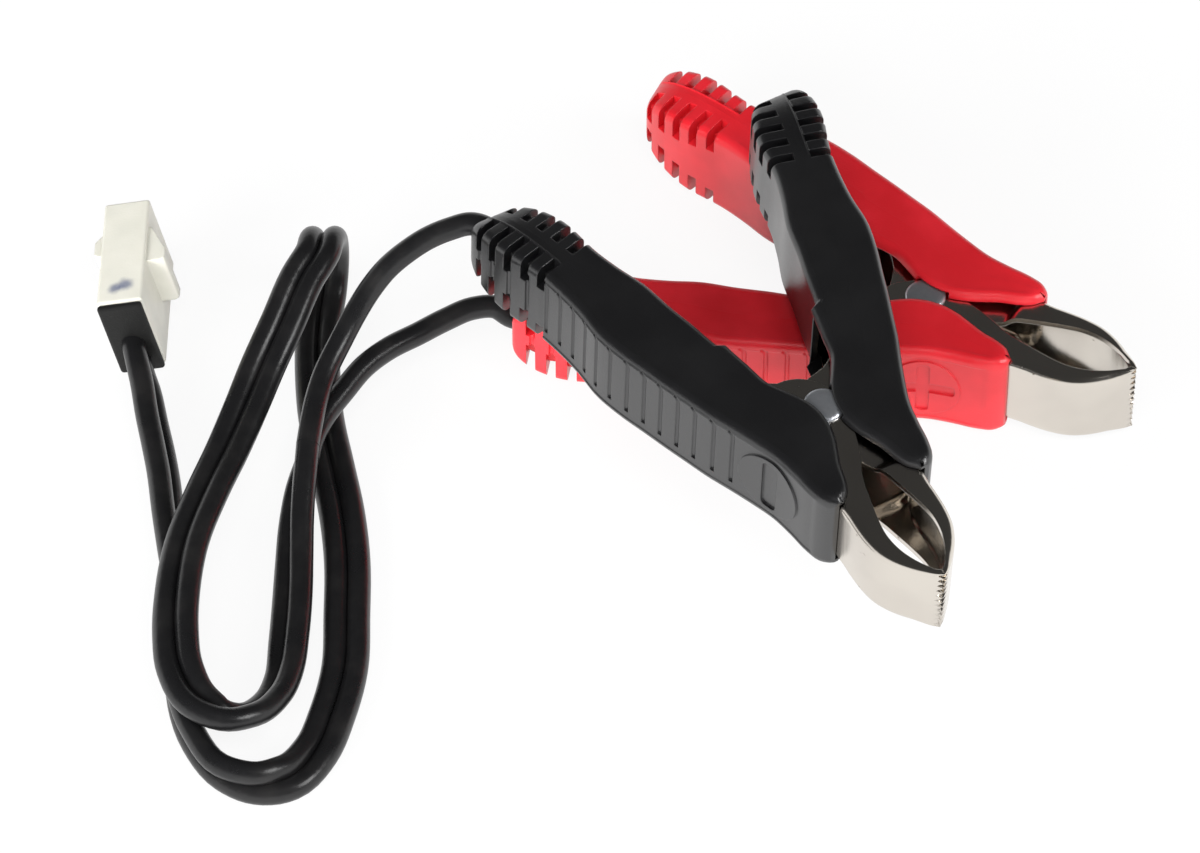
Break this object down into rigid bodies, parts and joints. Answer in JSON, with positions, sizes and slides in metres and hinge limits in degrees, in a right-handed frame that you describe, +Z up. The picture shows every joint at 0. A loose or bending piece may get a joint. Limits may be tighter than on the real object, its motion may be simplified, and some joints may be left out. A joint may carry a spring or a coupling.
{
  "type": "car battery charger clamp lead",
  "caption": "Battery charger lead: sprung crocodile clamps, red for plus and black for minus, on a flat two-core cable with a two-pole plug.",
  "frame": {"origin": "on the table, under the middle of the box round the two clamps", "axes": "+Z up; +Y away from the viewer, along the clamps' longer spread; the connector lies at -X"},
  "size_m": [0.1676, 0.1448, 0.0378],
  "materials": {
    "nickel_steel": "nickel-plated stamped steel",
    "rivet_steel": "zinc-plated steel",
    "spring_steel": "drawn spring wire",
    "tinned_brass": "tin-plated brass",
    "red_vinyl": "semi-gloss moulded vinyl",
    "black_vinyl": "semi-gloss moulded vinyl",
    "black_pvc": "semi-gloss extruded insulation",
    "natural_nylon": "milky natural nylon",
    "black_rubber": "matt moulded rubber"
  },
  "bodies": {
    "base": {"red_cable_jaw": "nickel_steel", "red_cable_sleeve": "red_vinyl", "red_pivot_rivet": "rivet_steel", "red_spring": "spring_steel", "red_crimp": "tinned_brass", "red_core_end": "black_pvc", "black_cable_jaw": "nickel_steel", "black_cable_sleeve": "black_vinyl", "black_pivot_rivet": "rivet_steel", "black_spring": "spring_steel", "black_crimp": "tinned_brass", "black_core_end": "black_pvc", "flat_lead": "black_pvc", "black_lead": "black_pvc", "red_lead": "black_pvc", "connector_housing": "natural_nylon", "connector_boot": "black_rubber", "contact_positive": "tinned_brass", "contact_negative": "tinned_brass"},
    "red_free_arm": {"red_free_jaw": "nickel_steel", "red_free_sleeve": "red_vinyl"},
    "black_free_arm": {"black_free_jaw": "nickel_steel", "black_free_sleeve": "black_vinyl"}
  },
  "joints": [
    {"name": "red_clamp_pivot", "type": "hinge", "parent": "base", "child": "red_free_arm", "pos_m": [0.01961, 0.00923, 0.0085], "axis": [0, 0, 1], "range_deg": [0, 36], "stiffness_Nm_per_rad": 0.4, "springref_deg": -60.16, "deforming": ["red_spring"]},
    {"name": "black_clamp_pivot", "type": "hinge", "parent": "base", "child": "black_free_arm", "pos_m": [0.0019, -0.02847, 0.02534], "axis": [0.0221, -0.0676, 0.9975], "range_deg": [0, 36], "stiffness_Nm_per_rad": 0.4, "springref_deg": -60.16, "deforming": ["black_spring"]}
  ]
}
